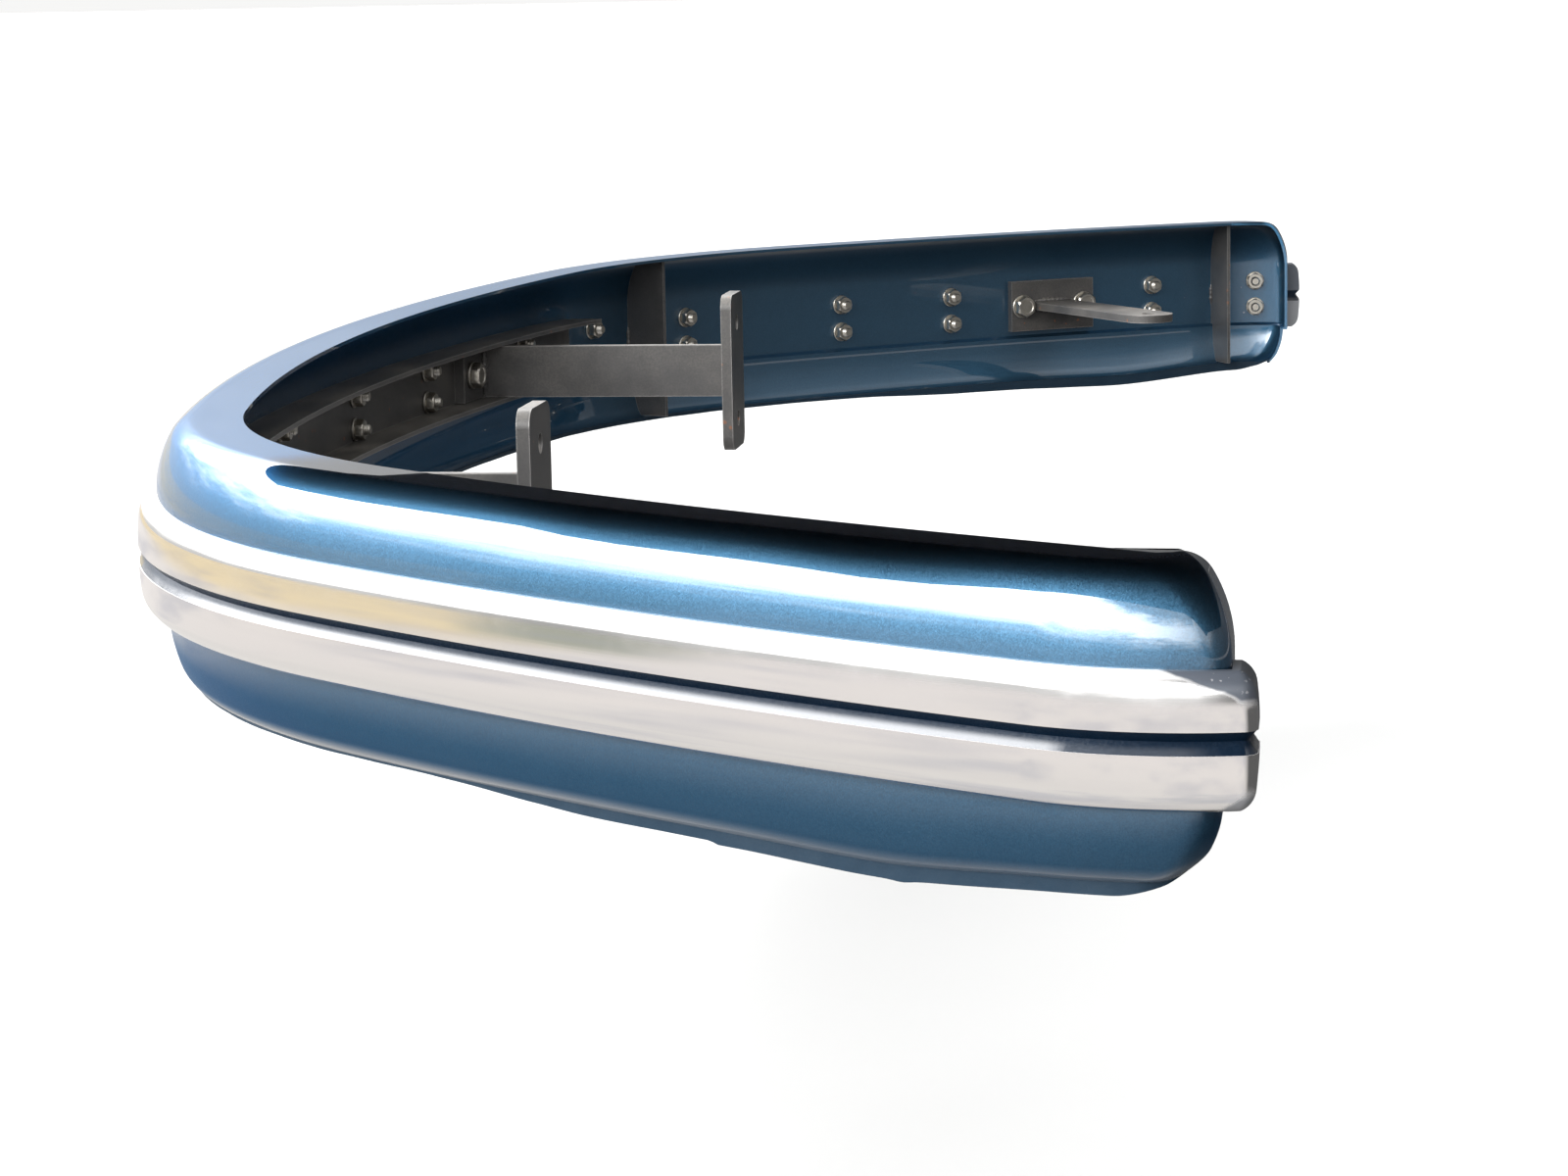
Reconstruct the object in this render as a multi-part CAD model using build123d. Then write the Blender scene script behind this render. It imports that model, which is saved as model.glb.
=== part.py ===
from build123d import *
import math
import os

# Front bumper of a small 1950s coupe: a pressed, painted blade with two bright bands, held by irons.
# Millimetres. X runs across the car (+X is its left side), the car faces -Y, Z is up.
# The origin is the middle of the four bolts that hold the main irons to the body.

# Plan of the bright bands' outer face, from the middle of the car round to one end.
# Each row: radius, heading at which the arc ends (0 is straight across the car, 90 is along its side).
FRONT_Y = -190.0
BUMPER_DEPTH = 510.6
PLAN_ARCS = ((1985.0, 11.0), (385.0, 48.6), (1720.0, 60.0), (97.0, 110.0))
END_Y = FRONT_Y + BUMPER_DEPTH
PAST_END = 125.0

# Section: every depth is measured inward from the bands' outer face, every height from the groove.
BAND_PROUD = 8.0
GROOVE_DEPTH = 3.0
GROOVE_SETBACK = 0.3
GROOVE_TOP = 3.2
GROOVE_BOTTOM = -4.0
UPPER_BAND_TOP = 21.0
LOWER_BAND_FOOT = -22.0
BAND_ROUND = 8.0
BAND_ROUND_TURN = 66.0
BAND_CORNER = 6.0
BAND_RETURN = 18.0

# Each lobe: depth where it leaves the seat, how far it draws in, its height, the radius at its crest.
UPPER_LOBE = (8.0, 17.0, 30.8, 12.0)
LOWER_LOBE = (11.0, 17.0, 32.0, 14.0)
LOWER_LOBE_AT_END = (11.0, 27.0, 29.5, 22.0)
LOWER_LOBE_CUT = 29.5
HOLLOW_CUT = 26.7
LIP_HEIGHT = 6.6
LIP_END_GAP = 38.0
BLADE_BACK = 45.0
SHEET = 1.8
MARGIN = 6.0

# Inner beam behind the seat, and the irons that carry it.
BEAM_HALF_LENGTH = 430.0
BEAM_HEIGHT = 36.0
BEAM_DEPTH = 22.0
BEAM_SHEET = 2.5
IRON_X = 290.0
IRON_THICK = 6.0
IRON_HEIGHT = 30.0
FOOT_WIDTH = 70.0
PAD_HEIGHT = 90.0
PAD_WIDTH = 46.0
PAD_ROUND = 8.0
PAD_BOLT_SPACING = 56.0
BOLT_HOLE = 4.5

# Side stays and the ribs inside the blade, placed by their heading in plan.
STAY_HEADING = 56.0
STAY_FOOT_HEIGHT = 34.0
STAY_FOOT_LENGTH = 64.0
STAY_THICK = 5.0
STAY_WIDTH = 32.0
STAY_REACH = 140.0
RIB_THICK = 2.0
RIB_BACK = 40.0
RIB_GAP = 0.02
FRONT_RIB_HEADING = 30.0
END_RIB_HEADING = 66.0

TALL = 400.0
LAST = len(PLAN_ARCS) - 1


def heading(angle):
    """Outward normal in plan where the outline runs at this heading."""
    a = math.radians(angle)
    return Vector(math.sin(a), -math.cos(a), 0)


def plan_centres():
    """Centres of the plan arcs on the +X side, in order from the middle of the car."""
    first = PLAN_ARCS[0][0]
    centres = [Vector(0, FRONT_Y + first, 0)]
    for (radius, turn), (following, _) in zip(PLAN_ARCS, PLAN_ARCS[1:]):
        centres.append(centres[-1] + heading(turn) * (radius - following))
    return centres


CENTRES = plan_centres()


def arc_point(index, angle, depth, height=0.0):
    """Point on plan arc number index, at a heading and a depth inward."""
    point = CENTRES[index] + heading(angle) * (PLAN_ARCS[index][0] - depth)
    return Vector(point.X, point.Y, height)


def plan_arc(index, start, stop, depth, height=0.0):
    angles = (start, (start + stop) / 2, stop)
    return Edge.make_three_point_arc(*[arc_point(index, a, depth, height) for a in angles])


def end_corner(depth, inset, corner):
    """Heading where the last arc leaves for the end corner, and the corner's centre."""
    reach = PLAN_ARCS[LAST][0] - depth - corner
    rise = END_Y - inset - corner - CENTRES[LAST].Y
    centre = CENTRES[LAST] + Vector(math.sqrt(reach ** 2 - rise ** 2), rise, 0)
    return 90 + math.degrees(math.asin(rise / reach)), centre


def half_outline(depth, inset):
    """Edges of the outline on the +X side, out from the crown, and the point where they end."""
    turn, _ = end_corner(depth, inset, 0)
    stops = [arc[1] for arc in PLAN_ARCS[:-1]] + [turn]
    edges = [plan_arc(i, stops[i - 1], stops[i], depth) for i in range(1, LAST + 1)]
    return edges, arc_point(LAST, turn, depth)


def plan_face(depth, back, inset=0.0):
    """Whole plan region of the bumper between two depths, closed straight across both ends."""
    crown = PLAN_ARCS[0][1]
    edges = []
    ends = []
    for level in (depth, back):
        half, end = half_outline(level, inset)
        edges += [plan_arc(0, -crown, crown, level)] + half + [mirror(e, Plane.YZ) for e in half]
        ends.append(end)
    tip = Edge.make_line(*ends)
    return Face(Wire.combine(edges + [tip, mirror(tip, Plane.YZ)])[0])


def slab(depth, back, low, high, inset=0.0):
    return Pos(0, 0, low) * extrude(plan_face(depth, back, inset), high - low, (0, 0, 1))


def section_plane(index, angle):
    """Plane across the bumper: its x runs inward, its y up, its normal along the bumper."""
    along = Vector(math.cos(math.radians(angle)), math.sin(math.radians(angle)), 0)
    return Plane(origin=arc_point(index, angle, 0), x_dir=heading(angle) * -1, z_dir=along)


def plan_path(turn):
    """Path along the bands' outer face, from one end to the other, stopping at a heading."""
    stops = [arc[1] for arc in PLAN_ARCS[:-1]] + [turn]
    half = [plan_arc(i, stops[i - 1], stops[i], 0) for i in range(1, LAST + 1)]
    crown = plan_arc(0, -stops[0], stops[0], 0)
    return Wire.combine([crown] + half + [mirror(e, Plane.YZ) for e in half])[0]


def swept(section, turn):
    return sweep(section_plane(LAST, turn) * section, plan_path(turn))


class Lobe:
    """Profile of a rounded lobe: a wide arc from the seat, then a tighter one over its crest."""

    def __init__(self, row, base, way, skin=0.0):
        start, across, height, crest = row
        self.base = base
        self.way = way
        self.start = start + skin
        self.crest_depth = start + across
        self.crest_rise = height - crest
        self.wide = (across ** 2 - crest ** 2 + self.crest_rise ** 2) / (2 * (across - crest))
        self.wide_depth = start + self.wide
        self.wide -= skin
        self.crest = crest - skin
        self.height = height - skin
        fall = math.hypot(self.wide_depth - self.crest_depth, self.crest_rise)
        self.turn = math.asin(self.crest_rise / fall)

    def point(self, depth, rise):
        return (depth, self.base + self.way * rise)

    def on_wide(self, angle):
        return self.point(self.wide_depth - self.wide * math.cos(angle), self.wide * math.sin(angle))

    def on_crest(self, angle):
        depth = self.crest_depth - self.crest * math.cos(angle)
        return self.point(depth, self.crest_rise + self.crest * math.sin(angle))

    def depth_at(self, rise):
        """Depth of the profile at a height above its base."""
        if rise <= self.wide * math.sin(self.turn):
            return self.wide_depth - math.sqrt(self.wide ** 2 - rise ** 2)
        over = min(rise - self.crest_rise, self.crest)
        return self.crest_depth - math.sqrt(self.crest ** 2 - over ** 2)

    def edges(self, last=math.pi / 2):
        return [
            Edge.make_three_point_arc(self.on_wide(0), self.on_wide(self.turn / 2), self.on_wide(self.turn)),
            Edge.make_three_point_arc(self.on_crest(self.turn), self.on_crest((self.turn + last) / 2),
                                      self.on_crest(last)),
        ]


def upper_lobe(skin):
    return Lobe(UPPER_LOBE, UPPER_BAND_TOP, 1, skin)


def lower_lobe(skin, row=LOWER_LOBE):
    return Lobe(row, LOWER_BAND_FOOT, -1, skin)


def polyline(points):
    return [Edge.make_line(a, b) for a, b in zip(points, points[1:])]


def blade_section(skin, back, cut, lower_row=LOWER_LOBE):
    """Filled section of the blade, or of its hollow when drawn in by the skin and cut higher."""
    upper = upper_lobe(skin)
    lower = lower_lobe(skin, lower_row)
    last = math.asin((cut - lower.crest_rise) / lower.crest)
    crest = upper.on_crest(math.pi / 2)
    foot = lower.on_crest(last)
    step = LOWER_BAND_FOOT + skin
    seat = polyline([(BAND_PROUD + skin, UPPER_BAND_TOP), (BAND_PROUD + skin, step),
                     (lower.start, step)] + ([(lower.start, LOWER_BAND_FOOT)] if skin else []))
    rear = polyline([crest, (back, crest[1]), (back, foot[1]), foot])
    return Face(Wire.combine(upper.edges() + seat + lower.edges(last) + rear)[0])


def blade_form(skin, back, cut):
    """Outer form of the blade, or its hollow: the section swept round, its ends cut to a rounder profile."""
    body = swept(blade_section(skin, back, cut), PAST_END)
    side = Plane(origin=(TALL * 3, END_Y, 0), x_dir=(0, -1, 0), z_dir=(-1, 0, 0))
    profile = side * blade_section(skin, BUMPER_DEPTH + back, cut, LOWER_LOBE_AT_END)
    return body & extrude(profile, TALL * 6, (-1, 0, 0))


def make_blade():
    """Pressed sheet blade: two lobes with a flat seat between them, round closed ends, open back."""
    outer = blade_form(0, BLADE_BACK, LOWER_LOBE_CUT)
    lip_depth = lower_lobe(0).depth_at(LOWER_LOBE_CUT)
    lip_root = LOWER_BAND_FOOT - LOWER_LOBE_CUT
    lip_foot = lip_root - LIP_HEIGHT
    lip_back = lip_depth + SHEET
    lip = slab(lip_depth, lip_back, lip_foot, lip_root + 1, lip_depth)
    lip = lip & Box(TALL * 5, 2 * (END_Y - LIP_END_GAP), TALL)
    below = slab(lip_back, BLADE_BACK + 2 * MARGIN, lip_foot, LOWER_BAND_FOOT - HOLLOW_CUT, lip_back)
    return outer - blade_form(SHEET, BLADE_BACK + 2 * MARGIN, HOLLOW_CUT) - below + lip


def band_section(face, outer):
    """Section of a bright band: flat back and face, its outer edge well rounded."""
    way = math.copysign(1, outer - face)
    turn = math.radians(BAND_ROUND_TURN)
    base = outer - way * BAND_ROUND * math.sin(turn)
    shoulder, belly, crest = [
        (BAND_ROUND * (1 - math.cos(a)), base + way * BAND_ROUND * math.sin(a)) for a in (0, turn / 2, turn)
    ]
    edges = [Edge.make_three_point_arc(shoulder, belly, crest)]
    edges += polyline([crest, (BAND_PROUD, outer), (BAND_PROUD, face), (0, face), shoulder])
    return Face(Wire.combine(edges)[0])


def groove_section():
    """Section of the painted strip between the bands, with its V-shaped face."""
    points = [(GROOVE_SETBACK, GROOVE_TOP), (GROOVE_DEPTH, 0), (GROOVE_SETBACK, GROOVE_BOTTOM),
              (BAND_PROUD, GROOVE_BOTTOM), (BAND_PROUD, GROOVE_TOP)]
    return Face(Wire.make_polygon(points, close=True))


def wrapped(section):
    """Sweep a band's section along the plan, round both end corners and in behind the ends."""
    turn, corner = end_corner(0, 0, BAND_CORNER)
    outer = section & Face(Wire.make_rect(2 * BAND_CORNER, TALL))
    bend = revolve(section_plane(LAST, turn) * outer, Axis(corner, (0, 0, 1)), 180 - turn)
    tip = Plane(origin=(corner.X, END_Y, 0), x_dir=(0, -1, 0), z_dir=(-1, 0, 0))
    end = bend + extrude(tip * section, BAND_RETURN, (-1, 0, 0))
    return swept(section, turn) + end + mirror(end, Plane.YZ)


def make_beam():
    """Inner channel behind the seat, open to the back."""
    front = BAND_PROUD + SHEET
    back = front + BEAM_DEPTH
    top = BEAM_HEIGHT / 2
    inner = top - BEAM_SHEET
    web = front + BEAM_SHEET
    points = [(front, top), (back, top), (back, inner), (web, inner), (web, -inner), (back, -inner),
              (back, -top), (front, -top)]
    section = Face(Wire.make_polygon(points, close=True))
    return swept(section, PAST_END) & Box(2 * BEAM_HALF_LENGTH, TALL * 5, TALL)


def box_between(low, high):
    size = [b - a for a, b in zip(low, high)]
    return Pos(*low) * Box(*size, align=(Align.MIN, Align.MIN, Align.MIN))


def make_main_iron():
    """Flat iron from the beam straight back to a bolting pad, for the +X side."""
    foot_front = BAND_PROUD + SHEET + BEAM_SHEET
    half = IRON_HEIGHT / 2
    edge = IRON_THICK / 2
    foot = slab(foot_front, foot_front + IRON_THICK, -half, half)
    foot &= box_between((IRON_X - FOOT_WIDTH / 2, FRONT_Y, -half), (IRON_X + FOOT_WIDTH / 2, 0, half))
    radius = PLAN_ARCS[0][0] - foot_front - edge
    start_y = CENTRES[0].Y - math.sqrt(radius ** 2 - IRON_X ** 2)
    web = box_between((IRON_X - edge, start_y, -half), (IRON_X + edge, 0, half))
    pad = box_between((IRON_X - PAD_WIDTH / 2, -IRON_THICK, -PAD_HEIGHT / 2),
                      (IRON_X + PAD_WIDTH / 2, 0, PAD_HEIGHT / 2))
    pad = fillet(pad.edges().filter_by(Axis.Y), PAD_ROUND)
    iron = foot + web + pad
    for height in (-PAD_BOLT_SPACING / 2, PAD_BOLT_SPACING / 2):
        iron -= Pos(IRON_X, 0, height) * Rot(90, 0, 0) * Cylinder(BOLT_HOLE, 4 * IRON_THICK)
    return iron


def make_side_stay():
    """Strap from the blade's side, straight inward to a round bolt eye, for the +X side."""
    foot_front = BAND_PROUD + SHEET
    frame = section_plane(2, STAY_HEADING)
    foot = slab(foot_front, foot_front + STAY_THICK, -STAY_FOOT_HEIGHT / 2, STAY_FOOT_HEIGHT / 2)
    foot &= frame * Box(4 * BLADE_BACK, 4 * STAY_FOOT_HEIGHT, STAY_FOOT_LENGTH)
    inner = foot_front + STAY_THICK / 2
    strap = frame * Pos((inner + STAY_REACH) / 2, 0, 0) * Box(STAY_REACH - inner, STAY_THICK, STAY_WIDTH)
    eye = frame * Pos(STAY_REACH, 0, 0) * Rot(90, 0, 0)
    return foot + strap + eye * Cylinder(STAY_WIDTH / 2, STAY_THICK) - eye * Cylinder(BOLT_HOLE, 4 * STAY_THICK)


def make_rib(angle):
    """Upright sheet rib across the blade's hollow, for the +X side."""
    index = next(i for i, arc in enumerate(PLAN_ARCS) if angle < arc[1])
    profile = section_plane(index, angle) * blade_section(SHEET + RIB_GAP, RIB_BACK, HOLLOW_CUT)
    return extrude(profile, RIB_THICK / 2, both=True)


def build_nodes():
    nodes = {
        "blade": make_blade(),
        "upper_band": wrapped(band_section(GROOVE_TOP, UPPER_BAND_TOP)),
        "lower_band": wrapped(band_section(GROOVE_BOTTOM, LOWER_BAND_FOOT)),
        "groove_strip": wrapped(groove_section()),
        "inner_beam": make_beam(),
    }
    paired = {
        "main_iron": make_main_iron(),
        "side_stay": make_side_stay(),
        "front_rib": make_rib(FRONT_RIB_HEADING),
        "end_rib": make_rib(END_RIB_HEADING),
    }
    for name, shape in paired.items():
        nodes[name + "_left"] = shape
        nodes[name + "_right"] = mirror(shape, Plane.YZ)
    return nodes


os.makedirs("parts", exist_ok=True)
for name, shape in build_nodes().items():
    export_step(shape, os.path.join("parts", name + ".step"))
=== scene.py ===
import bmesh
import bpy
import math
from mathutils import Matrix, Vector, noise


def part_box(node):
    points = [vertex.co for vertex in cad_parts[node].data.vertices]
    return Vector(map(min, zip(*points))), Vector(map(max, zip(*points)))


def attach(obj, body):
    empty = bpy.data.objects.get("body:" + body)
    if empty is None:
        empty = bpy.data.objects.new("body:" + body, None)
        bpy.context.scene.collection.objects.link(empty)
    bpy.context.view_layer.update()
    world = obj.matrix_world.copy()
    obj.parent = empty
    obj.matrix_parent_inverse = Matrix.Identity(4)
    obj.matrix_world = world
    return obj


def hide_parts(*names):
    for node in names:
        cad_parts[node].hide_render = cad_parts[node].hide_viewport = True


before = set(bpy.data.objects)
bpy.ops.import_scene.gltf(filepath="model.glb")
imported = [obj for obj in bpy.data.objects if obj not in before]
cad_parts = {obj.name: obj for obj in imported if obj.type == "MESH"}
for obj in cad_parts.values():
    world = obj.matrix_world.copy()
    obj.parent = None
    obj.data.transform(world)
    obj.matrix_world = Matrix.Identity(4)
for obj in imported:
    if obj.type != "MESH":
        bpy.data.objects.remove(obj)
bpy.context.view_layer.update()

# Front bumper of a small 1950s coupe. Metres. X runs across the car (+X is its left side), the car faces -Y.

# Plan of the bright bands' outer face: radius of each arc, the heading where it ends, steps along it.
PLAN_ARCS = ((1.985, 11.0, 16), (0.385, 48.6, 56), (1.720, 60.0, 48), (0.097, 110.0, 44))
CORNER_STEPS = 12
END_STEPS = 8

UPPER_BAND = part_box("upper_band")
LOWER_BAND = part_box("lower_band")
FRONT_Y = UPPER_BAND[0].y
END_Y = UPPER_BAND[1].y
BAND_PROUD = 0.008
BAND_ROUND = 0.008
BAND_ROUND_TURN = 66.0
BAND_LEAN = 7.0
BAND_CORNER = 0.006
BAND_RETURN = 0.018
BAND_FACE_STEPS = 6
BAND_ROUND_STEPS = 14
GROOVE_DEPTH = 0.003
GROOVE_SETBACK = 0.0003

# Each lobe: depth where it leaves the seat, how far it draws in, its height, the radius at its crest.
UPPER_LOBE = (0.008, 0.017, 0.0308, 0.012)
LOWER_LOBE = (0.011, 0.017, 0.0320, 0.014)
LOWER_LOBE_CUT = 0.0295
LOBE_STEPS = 14
FLANGE_STEPS = 5
BLADE_BACK = 0.045
SHEET = 0.0018

# End corner's radius in plan: on the seat, how fast it grows with depth, and its least share at the back.
CORNER_AT_SEAT = 0.009
CORNER_GROWTH = 0.62
CORNER_LEAST = 0.03
CORNER_RADIUS_LEAST = 0.0003

# Lower lobe's height by distance in front of the end. A swell has its height, place and width. A rise has its
# height, the distance up to which it is whole and the one from which there is none.
LOBE_HEIGHT = 0.0297
LOBE_SWELL = (0.0010, 0.125, 0.035)
LOBE_RISES = ((0.0039, 0.035, 0.125), (0.0053, 0.012, 0.030))

# Lip under the lower lobe: how far it hangs and wanders, and what is added, by distance in the same way. The
# left side has two nicks, a step and a tooth.
LIP_HANG = 0.0007
LIP_WANDER = 0.0002
LIP_GRAIN = 38.7
LIP_SWELL = (0.0002, 0.122, 0.025)
LIP_ADDED = ((0.0030, 0.22, 0.305), (-0.0004, 0.05, 0.10))
LIP_STEP_LEFT = (0.0010, 0.181, 0.183)
LIP_STEP_RIGHT = (0.0010, 0.15, 0.21)
LIP_TOOTH = (0.0006, 0.114, 0.004)
LIP_FADE = (-0.006, 0.020)
LIP_OVERLAP = 0.0012
LIP_END_RUN = 0.012
LIP_FINENESS = 3

# Camera, found from the bumper's outlines in the picture.
CAMERA_AT = (1.9606, 0.3410, 0.2314)
CAMERA_AZIMUTH = 98.0
CAMERA_PITCH = 9.0
CAMERA_ROLL = -1.1
CAMERA_LENS = 90.0
FLOOR_Z = -0.27
FLOOR_HALF = 60.0

# Colours of the floor: the first two are what the camera sees, the others only light and mirror in the piece.
# Among these, the dark one behind the bumper and the one near it are painted shade.
FLOOR_DARK = (0.325, 0.324, 0.321)
FLOOR_LIGHT = (0.337, 0.336, 0.333)
FLOOR_SHADE_BEHIND = (0.03, 0.03, 0.03)
FLOOR_COOL = (0.105, 0.112, 0.135)
FLOOR_GREEN = (0.115, 0.118, 0.098)
FLOOR_NEAR_SHADE = (0.208, 0.202, 0.195)
FLOOR_FAR = (0.226, 0.216, 0.209)
FLOOR_SANDY = (0.240, 0.203, 0.136)
BACKDROP = (0.93, 0.93, 0.92)

# Fittings on the inside. Studs and ribs are placed by plan arc and heading.
BEAM_WEB = 0.0123
IRON_X = 0.290
IRON_THICK = 0.006
FOOT_BOLT = 0.023
STAY_HEADING = 56.0
STAY_THICK = 0.005
STAY_BOLT = 0.024
STUD_SIZE = 0.006
BOLT_SIZE = 0.008
STUD_HEIGHT = 0.009
STUDS = ((0, 2.2), (0, 6.0), (0, 10.6), (1, 24.0), (1, 38.0), (2, 50.5), (2, 53.4), (2, 58.7), (3, 86.0))
RIBS = ((1, 30.0), (3, 66.0))
TURN_SIDES = 24

# Weld beads: (half length, radius) on the irons and on the stays, and their distance out from the metal.
IRON_WELD = (0.0135, 0.0021)
STAY_WELD = (0.0145, 0.0018)
IRON_WELD_OUT = 0.0008
STAY_WELD_OUT = 0.0006
RIB_WELD = 0.0013
RIB_WELD_OUT = 0.0012
RIB_WELD_DEPTH = 0.029
RIB_WELD_RUN = 0.009
BEAD_SIDES = 10
BEAD_STEP = 0.0009

# Grey card over the left side: depth and height of its rows, the heading where it starts, its straight run at
# the end. Its first row is lifted by CARD_LIFT and by each row of CARD_LIFTS: the lift, the distance in front
# of the end up to which there is none, and the one from which it is whole.
CARD_ROWS = ((-0.005, 0.0512), (0.010, 0.062), (0.115, 0.0645))
CARD_START = 37.0
CARD_RUN = 0.12
CARD_STEPS = (16, 12)
CARD_LIFT = 0.0055
CARD_LIFTS = ((-0.0055, 0.09, 0.15), (0.005, 0.11, 0.20), (0.006, 0.25, 0.30))

# Studio surround: each value by azimuth, in degrees from straight ahead of the bumper towards its left. FOOT,
# FULL_AT and TOP are heights in degrees above the horizon, the others strengths of light or shade.
PANEL_LIGHT = ((-180, 0.5), (-135, 0.4), (-115, 0.05), (-88, 0.3), (-60, 9), (-20, 15), (24, 15), (45, 14),
               (62, 12), (79, 10), (96, 3.5), (104, 2.2), (140, 1.4), (180, 0.5))
PANEL_FOOT = ((-180, 20), (-110, 20), (-60, 4), (-20, 4), (14, 4), (24, 3), (45, 0), (130, 0), (180, 20))
PANEL_FULL_AT = ((-180, 50), (-110, 50), (-60, 19), (-20, 19), (14, 19), (26, 18.5), (62, 17), (79, 13),
                 (96, 12), (130, 14), (180, 50))
PANEL_TOP = ((-180, 80), (-110, 80), (-60, 58), (0, 58), (18, 52), (34, 44), (45, 38), (62, 29), (79, 22),
             (96, 18), (110, 45), (180, 80))
LOW_SHADE = ((-180, 0.0), (-70, 0.1), (-30, 0.1), (-2, 0.1), (1, 0.3), (4, 0.42), (9, 0.42), (12, 0.2),
             (15, 0.12), (25, 0.05), (60, 0.0), (180, 0.0))
GLOW_LIGHT = ((-180, 0.15), (-135, 0.15), (-115, 0.05), (-88, 0.2), (-60, 0.9), (-10, 1.0), (20, 1.3),
              (90, 1.6), (104, 0.2), (180, 0.15))
LOW_LIGHT = ((-180, 0.2), (-135, 0.2), (-115, 0.1), (-92, 0.15), (-70, 0.8), (95, 0.8), (110, 0.2),
             (180, 0.2))
GLOW_TOP = ((-180, 60), (-60, 80), (90, 76), (180, 60))

# Colours of the paints, metals and dirt. A pair holds the two ends of a range.
BODY_BLUE = ((0.0250, 0.077, 0.134), (0.0400, 0.106, 0.175))
# Darker blue blended in on faces that look down, as painted shade.
BODY_BLUE_SHADED_BELOW = (0.006, 0.020, 0.048)
UNDERSIDE_BLUE = ((0.05, 0.12, 0.22), (0.085, 0.17, 0.27))
# Far darker than the body's blue: painted shade on the lip.
LIP_BLUE_SHADED = ((0.005, 0.015, 0.028), (0.010, 0.025, 0.042))
# Far darker than the body's blue: painted shade inside the groove.
GROOVE_BLUE_SHADED = ((0.001, 0.006, 0.015), (0.002, 0.009, 0.021))
ALUMINIUM = ((0.86, 0.845, 0.83), (0.80, 0.785, 0.775))
# Dull, dark aluminium of the turned ends, also a painted reflection of dark surroundings.
DULL_ALUMINIUM_AND_DARK_REFLECTION = (0.070, 0.079, 0.096)
PITTED_ALUMINIUM = (0.26, 0.26, 0.27)
SATIN_BLACK = ((0.012, 0.012, 0.013), (0.035, 0.035, 0.036))
RUBBED_STEEL = (0.30, 0.29, 0.28)
PLATED_STEEL = ((0.34, 0.31, 0.25), (0.55, 0.53, 0.49))
BRIGHT_STEEL = (0.75, 0.74, 0.72)
CARD_GREY = ((0.045, 0.045, 0.05), (0.06, 0.06, 0.065))
DUST = (0.32, 0.29, 0.25)
PRIMER = (0.42, 0.43, 0.45)
RUST = (0.16, 0.06, 0.025)


def heading(angle):
    """Outward normal in plan where the outline runs at this heading, in degrees."""
    a = math.radians(angle)
    return Vector((math.sin(a), -math.cos(a)))


def plan_centres():
    """Centres of the plan's arcs, each arc leaving the one before it without a kink."""
    centres = [Vector((0.0, FRONT_Y + PLAN_ARCS[0][0]))]
    for (radius, turn, _), (following, _, _) in zip(PLAN_ARCS, PLAN_ARCS[1:]):
        centres.append(centres[-1] + heading(turn) * (radius - following))
    return centres


CENTRES = plan_centres()
LAST_RADIUS = PLAN_ARCS[-1][0]


def end_corner(depth, corner):
    """Heading where the last arc leaves for the end corner at a depth, and the corner's centre."""
    reach = LAST_RADIUS - depth - corner
    rise = END_Y - depth - corner - CENTRES[-1].y
    centre = CENTRES[-1] + Vector((math.sqrt(reach ** 2 - rise ** 2), rise))
    return 90 + math.degrees(math.asin(rise / reach)), centre


def half_outline(depth, corner, stop_x, fine=1):
    """Plan points at one depth, from the car's middle out along +X, round the corner and in behind it."""
    turn, centre = end_corner(depth, corner)
    points = []
    start = 0.0
    for number, ((radius, stop, steps), middle) in enumerate(zip(PLAN_ARCS, CENTRES)):
        stop = turn if number == len(PLAN_ARCS) - 1 else stop
        for i in range(steps * fine):
            points.append(middle + heading(start + (stop - start) * i / steps / fine) * (radius - depth))
        start = stop
    for i in range(CORNER_STEPS):
        points.append(centre + heading(turn + (180 - turn) * i / CORNER_STEPS) * corner)
    for i in range(END_STEPS + 1):
        points.append(Vector((centre.x + (stop_x - centre.x) * i / END_STEPS, centre.y + corner)))
    return points


def outline(depth, corner, stop_x, fine=1):
    """Whole plan outline at one depth, from the right end round the front to the left end."""
    half = half_outline(depth, corner, stop_x, fine)
    return [Vector((-p.x, p.y)) for p in reversed(half[1:])] + half


def running_lengths(points):
    """Distance along a line of points, measured from its middle."""
    total = [0.0]
    for a, b in zip(points, points[1:]):
        total.append(total[-1] + (b - a).length)
    middle = total[len(total) // 2]
    return [t - middle for t in total]


def loop_faces(rows, count):
    """Faces of a closed loop of rows of points, with a face over each end."""
    faces = []
    for row in range(rows):
        here = row * count
        beyond = (row + 1) % rows * count
        for i in range(count - 1):
            faces.append((here + i, here + i + 1, beyond + i + 1, beyond + i))
    faces.append([row * count for row in range(rows)])
    faces.append([row * count + count - 1 for row in reversed(range(rows))])
    return faces


def swept_mesh(name, section, rings):
    """Closed mesh of a section loop along its rings. Keeps how far along, across and past the corner."""
    across = [0.0]
    for a, b in zip(section, section[1:]):
        across.append(across[-1] + math.dist(a, b))
    along = running_lengths(rings[0])
    rows = len(section)
    count = len(rings[0])
    points = [(p.x, p.y, height) for (_, height), ring in zip(section, rings) for p in ring]
    mesh = bpy.data.meshes.new(name)
    mesh.from_pydata(points, [], loop_faces(rows, count))
    sweep = mesh.attributes.new("sweep", "FLOAT_VECTOR", "POINT")
    for row in range(rows):
        for i in range(count):
            past = abs(along[i]) - along[count - 1 - END_STEPS - CORNER_STEPS]
            sweep.data[row * count + i].vector = (along[i], across[row], past)
    return mesh


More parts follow.
